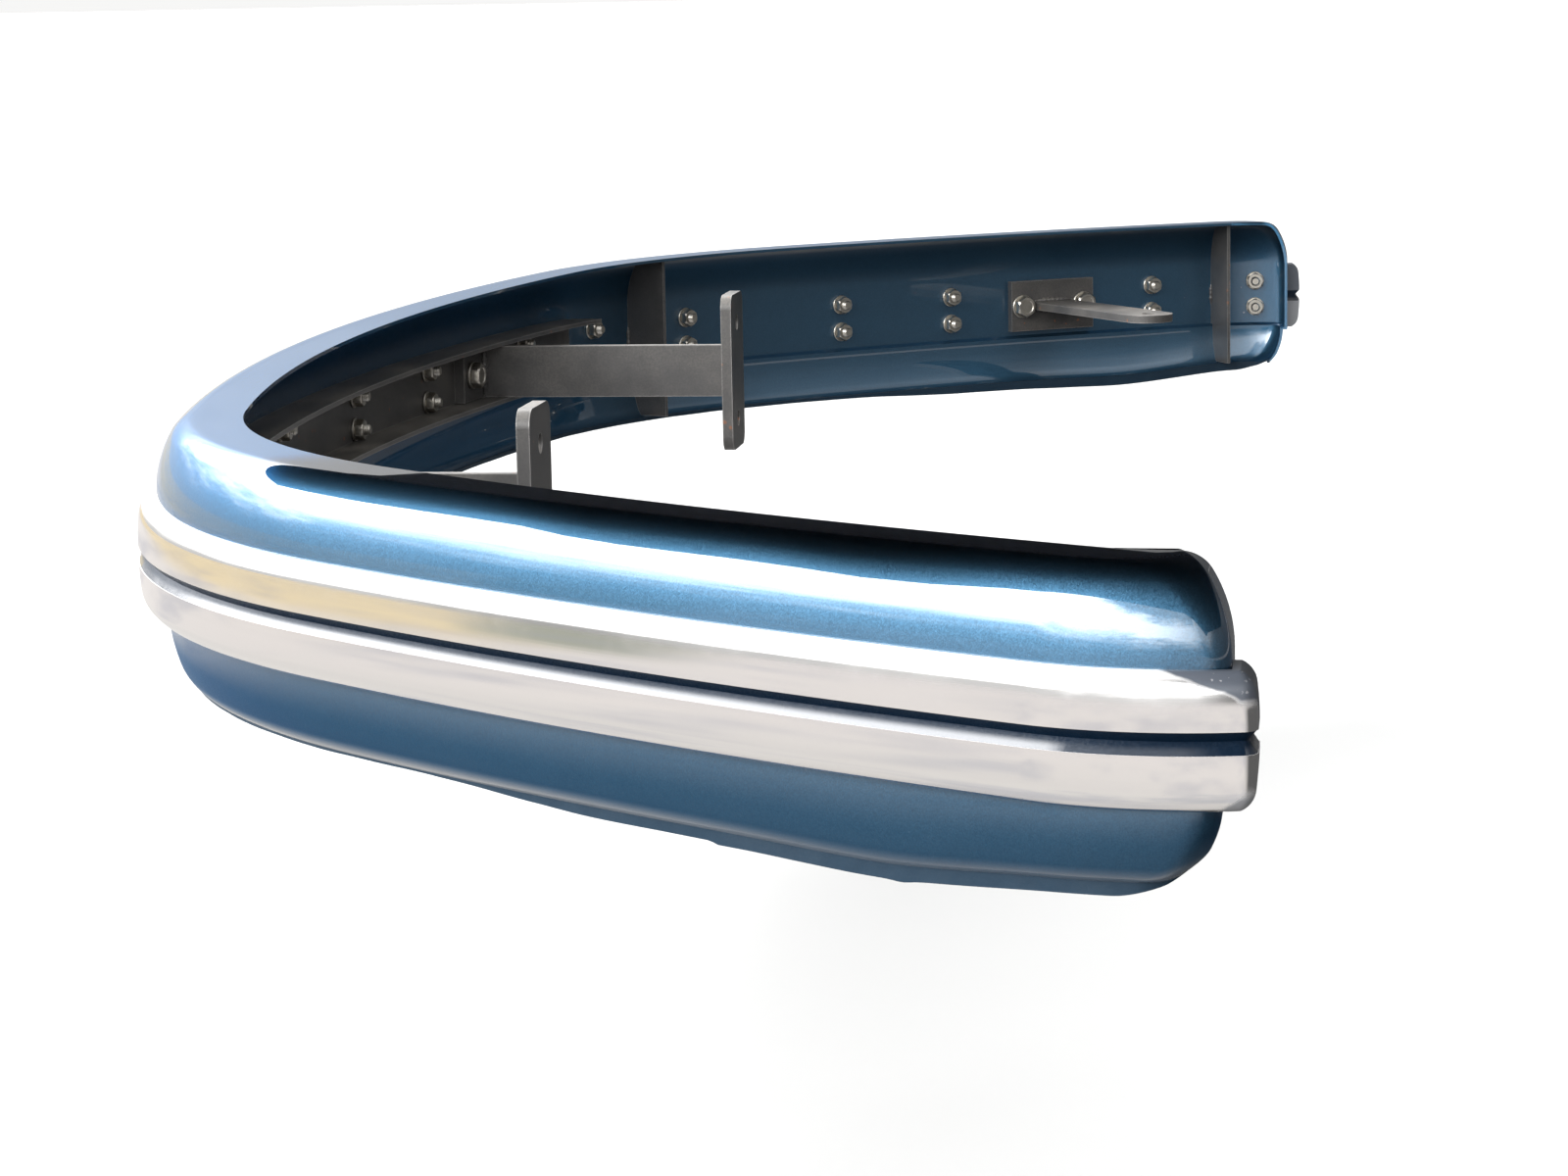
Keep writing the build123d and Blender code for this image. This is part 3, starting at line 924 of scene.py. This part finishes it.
def bead(bm, start, end, radius):
    """Adds a weld bead: a lumpy run with its ripples, tapered at both ends."""
    run = end - start
    steps = max(8, int(run.length / BEAD_STEP))
    side = run.orthogonal().normalized()
    other = run.normalized().cross(side)
    rings = []
    for i in range(steps + 1):
        share = i / steps
        taper = 0.3 + 0.7 * min(1.0, 4 * share, 4 * (1 - share))
        lumps = noise.noise(start * 700 + Vector((i * 0.3, 0, 0)))
        size = radius * taper * (1 + 0.13 * math.sin(i * 1.7) + 0.2 * lumps)
        ring = []
        for k in range(BEAD_SIDES):
            a = 2 * math.pi * k / BEAD_SIDES
            ring.append(bm.verts.new(start + run * share + (side * math.cos(a) + other * math.sin(a)) * size))
        rings.append(ring)
    skin_rings(bm, rings)


def finished(bm, name, sharp_angle, slot, material):
    mesh = bpy.data.meshes.new(name)
    bm.to_mesh(mesh)
    bm.free()
    piece = finish_piece(mesh, sharp_angle, slot)
    dress(piece, material)
    return piece


def heading_at(arc, x, depth):
    """Heading at which an arc, at a depth, is this far from the middle of the car."""
    return math.degrees(math.asin((x - CENTRES[arc].x) / (PLAN_ARCS[arc][0] - depth)))


def add_fasteners(material):
    """Nuts on the bands' studs, and the bolts that hold the irons' and stays' feet."""
    nuts = bmesh.new()
    bolts = bmesh.new()
    for side in (1, -1):
        for arc, angle in STUDS:
            inside = BEAM_WEB if arc == 0 else BAND_PROUD + SHEET
            for height in (STUD_HEIGHT, -STUD_HEIGHT):
                stud_nut(nuts, place_on(arc, angle, inside, height, side))
        foot_back = BEAM_WEB + IRON_THICK
        for x in (IRON_X - FOOT_BOLT, IRON_X + FOOT_BOLT):
            bolt_head(bolts, place_on(0, heading_at(0, x, foot_back), foot_back, 0.0, side))
        spread = math.degrees(STAY_BOLT / PLAN_ARCS[2][0])
        for angle in (STAY_HEADING - spread, STAY_HEADING + spread):
            bolt_head(bolts, place_on(2, angle, BAND_PROUD + SHEET + STAY_THICK, 0.0, side))
    finished(nuts, "band_stud_nuts", 30, "iron_paint", material)
    finished(bolts, "foot_bolts", 30, "iron_paint", material)


def add_welds(material):
    """Beads where the irons meet their feet and pads, where the straps meet theirs, and along the ribs."""
    bm = bmesh.new()
    foot_back = BEAM_WEB + IRON_THICK
    stay_back = BAND_PROUD + SHEET + STAY_THICK + STAY_WELD_OUT
    roof = UPPER_BAND[1].z + UPPER_LOBE[2] - SHEET - 0.0003
    half, radius = IRON_WELD
    up = Vector((0.0, 0.0, half))
    for side in (1, -1):
        for offset in (-1, 1):
            x = IRON_X + offset * (IRON_THICK / 2 + IRON_WELD_OUT)
            at_pad = Vector((x * side, -IRON_THICK - IRON_WELD_OUT, 0.0))
            bead(bm, at_pad - up, at_pad + up, radius)
            foot = place_on(0, heading_at(0, x, foot_back), foot_back + 0.0006, 0.0, side).translation
            bead(bm, foot - up, foot + up, radius)
            height = offset * (STAY_THICK / 2 + STAY_WELD_OUT)
            strap = place_on(2, STAY_HEADING, stay_back, height, side)
            along = strap.to_3x3() @ Vector((STAY_WELD[0], 0.0, 0.0))
            bead(bm, strap.translation - along, strap.translation + along, STAY_WELD[1])
        for arc, angle in RIBS:
            for offset in (-RIB_WELD_OUT, RIB_WELD_OUT):
                aside = Matrix.Translation((offset, 0.0, 0.0))
                under = place_on(arc, angle, RIB_WELD_DEPTH, roof, side) @ aside
                run = under.to_3x3() @ Vector((0.0, 0.0, RIB_WELD_RUN))
                bead(bm, under.translation, under.translation + run, RIB_WELD)
                seat = place_on(arc, angle, BAND_PROUD + SHEET + 0.0004, 0.0, side) @ aside
                bead(bm, seat.translation - up * 0.5, seat.translation + up * 0.5, RIB_WELD)
    finished(bm, "weld_beads", 60, "iron_paint", material)


def add_camera():
    camera = bpy.data.objects.new("camera", bpy.data.cameras.new("camera"))
    bpy.context.scene.collection.objects.link(camera)
    camera.location = CAMERA_AT
    azimuth = math.radians(CAMERA_AZIMUTH)
    pitch = math.radians(CAMERA_PITCH)
    level = Vector((-math.sin(azimuth), math.cos(azimuth), 0.0))
    ahead = level * math.cos(pitch) - Vector((0.0, 0.0, math.sin(pitch)))
    right = Vector((math.cos(azimuth), math.sin(azimuth), 0.0))
    up = right.cross(ahead)
    roll = math.radians(CAMERA_ROLL)
    side = right * math.cos(roll) + up * math.sin(roll)
    top = up * math.cos(roll) - right * math.sin(roll)
    camera.rotation_mode = "QUATERNION"
    camera.rotation_quaternion = Matrix((side, top, -ahead)).transposed().to_quaternion()
    camera.data.lens = CAMERA_LENS
    camera.data.sensor_width = 36.0
    camera.data.clip_start = 0.01
    bpy.context.scene.camera = camera


def staged(name, points, faces, material):
    mesh = bpy.data.meshes.new(name)
    mesh.from_pydata(points, [], faces)
    piece = bpy.data.objects.new(name, mesh)
    bpy.context.scene.collection.objects.link(piece)
    dress(piece, material)
    return piece


def add_floor():
    """Pale floor. Its colours in reflections and bounced light are set apart from what the camera sees."""
    material, board, shader, place = new_material("pale_floor")
    mottle = board.noise(place, 2.5, 5.0, 0.6)
    x, y, _ = board.split(place)
    # Close to the bumper the floor is a little darker, as painted shade.
    near = board.join(board.times(x, 1.2), board.times(y, 2.0))
    near = board.vector("LENGTH", near, out="Value")
    bounced = board.blend(board.remap(near, 1.2, 2.2), FLOOR_NEAR_SHADE, FLOOR_FAR)
    # Far ahead the floor is sandy, and green in a band to the left. All over it are cool patches.
    ahead = board.times(y, -1.0)
    aside = board.math("DIVIDE", board.minus(x, 0.6), board.math("MAXIMUM", ahead, 0.1))
    sandy = board.times(board.remap(ahead, 1.4, 2.4), board.remap(aside, 0.0, 0.22, 1.0, 0.0))
    bounced = board.blend(sandy, bounced, FLOOR_SANDY)
    green = board.times(board.remap(aside, 0.02, 0.08), board.remap(aside, 0.18, 0.30, 1.0, 0.0))
    green = board.times(green, board.remap(ahead, 1.7, 3.2))
    bounced = board.blend(green, bounced, FLOOR_GREEN)
    patches = board.remap(board.noise(place, 2.0, 5.0, 0.65), 0.48, 0.62)
    bounced = board.blend(board.times(patches, 0.4), bounced, FLOOR_COOL)
    # Behind the bumper it is dark with painted shade, out to a slanting line that runs back from the left
    # end.
    behind = board.times(board.remap(y, 0.12, 0.30), board.remap(y, 6.0, 8.0, 1.0, 0.0))
    inside = board.times(board.remap(x, 0.60, 0.72, 1.0, 0.0), board.remap(x, -5.0, -4.0))
    outward = board.math("MAXIMUM", board.minus(x, 0.75), 0.05)
    past = board.math("DIVIDE", board.minus(y, 0.35), outward)
    inside = board.math("MAXIMUM", inside, board.remap(past, 0.3, 1.8))
    bounced = board.blend(board.times(behind, inside), bounced, FLOOR_SHADE_BEHIND)
    seen = board.node("ShaderNodeLightPath").outputs["Is Camera Ray"]
    plain = board.blend(mottle, FLOOR_DARK, FLOOR_LIGHT)
    board.feed(shader["Base Color"], board.blend(seen, bounced, plain))
    shader["Roughness"].default_value = 0.9
    shader["Specular IOR Level"].default_value = 0.0
    corners = ((-1, -1), (1, -1), (1, 1), (-1, 1))
    points = [(x * FLOOR_HALF, y * FLOOR_HALF, FLOOR_Z) for x, y in corners]
    staged("floor", points, [(0, 1, 2, 3)], material)


def card_lift(back):
    """How much higher the card's outer edge is, by distance in front of the end."""
    return CARD_LIFT + sum(lift * step_up(low, high, back) for lift, low, high in CARD_LIFTS)


def add_card():
    """Grey card over the left side, out of the camera's sight, that shades the top of the blade."""
    material, board, shader, place = new_material("grey_card", Roughness=0.9, Specular_IOR_Level=0.0)
    board.feed(shader["Base Color"], board.blend(board.noise(place, 50.0), *CARD_GREY))
    points = []
    for number, (depth, height) in enumerate(CARD_ROWS):
        line = part_arc(1, CARD_START, PLAN_ARCS[1][1], CARD_STEPS[0], depth)
        line += part_arc(2, PLAN_ARCS[1][1], PLAN_ARCS[2][1], CARD_STEPS[1], depth)
        outward = heading(PLAN_ARCS[2][1])
        line.append(line[-1] + Vector((-outward.y, outward.x)) * CARD_RUN)
        raised = 1.0 if number == 0 else 0.0
        points += [(p.x, p.y, height + raised * card_lift(END_Y - p.y)) for p in line]
    count = len(line)
    faces = []
    for row in range(len(CARD_ROWS) - 1):
        for i in range(row * count, row * count + count - 1):
            faces.append((i, i + 1, i + count + 1, i + count))
    card = staged("shade_card", points, faces, material)
    card.visible_camera = False


def add_sky():
    """Soft studio surround: a broad bright panel in front and to the left, a low band, dim behind."""
    world = bpy.data.worlds.new("studio")
    bpy.context.scene.world = world
    world.use_nodes = True
    board = Board(world.node_tree)
    background = world.node_tree.nodes["Background"].inputs
    way = board.vector("NORMALIZE", board.node("ShaderNodeTexCoord").outputs["Generated"])
    x, y, z = board.split(way)
    azimuth = board.math("ARCTAN2", x, board.times(y, -1.0))
    turn = board.remap(azimuth, -math.pi, math.pi, 0.0, 1.0, False)
    rise = board.times(board.math("ARCSINE", z), 180 / math.pi)
    drift = board.noise(board.vector("MULTIPLY", way, (1.0, 1.0, 3.0)), 5.0, 6.0, 0.68)
    rise = board.plus(rise, board.times(board.minus(drift, 0.5), 16.0))

    def around(points, scale):
        """A value that changes with azimuth, given in degrees from straight ahead."""
        stops = [((angle + 180) / 360, (value / scale,) * 3) for angle, value in points]
        return board.times(board.ramp(turn, stops), scale)

    foot = around(PANEL_FOOT, 40.0)
    full = around(PANEL_FULL_AT, 40.0)
    climb = board.minus(rise, foot)
    climb = board.math("DIVIDE", climb, board.minus(full, foot), clamp=True)
    panel = board.times(board.math("POWER", climb, 2.4), around(PANEL_LIGHT, 20.0))
    top = around(PANEL_TOP, 90.0)
    panel = board.times(panel, board.remap(board.minus(rise, top), -2.0, 6.0, 1.0, 0.0))
    glow = board.times(around(GLOW_LIGHT, 4.0), board.remap(rise, 2.0, 20.0))
    glow_top = around(GLOW_TOP, 90.0)
    glow = board.times(glow, board.remap(board.minus(rise, glow_top), -4.0, 8.0, 1.0, 0.0))
    base = board.ramp(board.remap(rise, 0.0, 90.0, 0.0, 1.0, False),
                      [(0.0, (1.0, 1.0, 1.0)), (0.40, (0.8, 0.85, 0.9)), (0.65, (0.12, 0.14, 0.17))])
    low = around(LOW_LIGHT, 1.0)
    base = board.vector("MULTIPLY", base, board.join(low, low, low))
    shade = board.times(around(LOW_SHADE, 1.0), board.remap(rise, 3.5, 8.0, 1.0, 0.0))
    clear = board.minus(1.0, shade)
    base = board.vector("MULTIPLY", base, board.join(clear, clear, clear))
    light = board.plus(panel, board.times(glow, clear))
    total = board.vector("ADD", base, board.join(light, light, light))
    seen = board.node("ShaderNodeLightPath").outputs["Is Camera Ray"]
    board.feed(background["Color"], board.blend(seen, total, BACKDROP))


EFFECTS = {"flake": paint_flake(), "specks": fine_specks(), "wear": edge_wear(), "dust": dust_film()}
outer_paint = body_paint()
inner_paint = underside_paint()
metal = band_metal()
black = black_paint()
steel = fastener_steel()
blade = make_blade()
dress(blade, outer_paint, inner_paint)
lip = make_lip()
dress(lip, lip_paint())
for name, face, outer, node in (("upper_bright_band", UPPER_BAND[0].z, UPPER_BAND[1].z, "upper_band"),
                                ("lower_bright_band", LOWER_BAND[1].z, LOWER_BAND[0].z, "lower_band")):
    dress(wrapped(name, band_section(face, outer), 16, "bright_band", node), metal)
dress(wrapped("groove_filler", groove_section(), 20, "groove_paint", "groove_strip"), groove_paint())
add_fasteners(steel)
add_welds(black)
for name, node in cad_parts.items():
    if name in ("end_rib_left", "end_rib_right"):
        dress(fitted_rib(name), black)
    elif name not in ("blade", "upper_band", "lower_band", "groove_strip"):
        dress(node, black)
        rounded = node.modifiers.new("worn_edges", "BEVEL")
        rounded.width = 0.0005
        rounded.segments = 2
        rounded.limit_method = "ANGLE"
        rounded.angle_limit = math.radians(40)
add_camera()
add_floor()
add_card()
add_sky()
bpy.context.scene.view_settings.view_transform = "Standard"
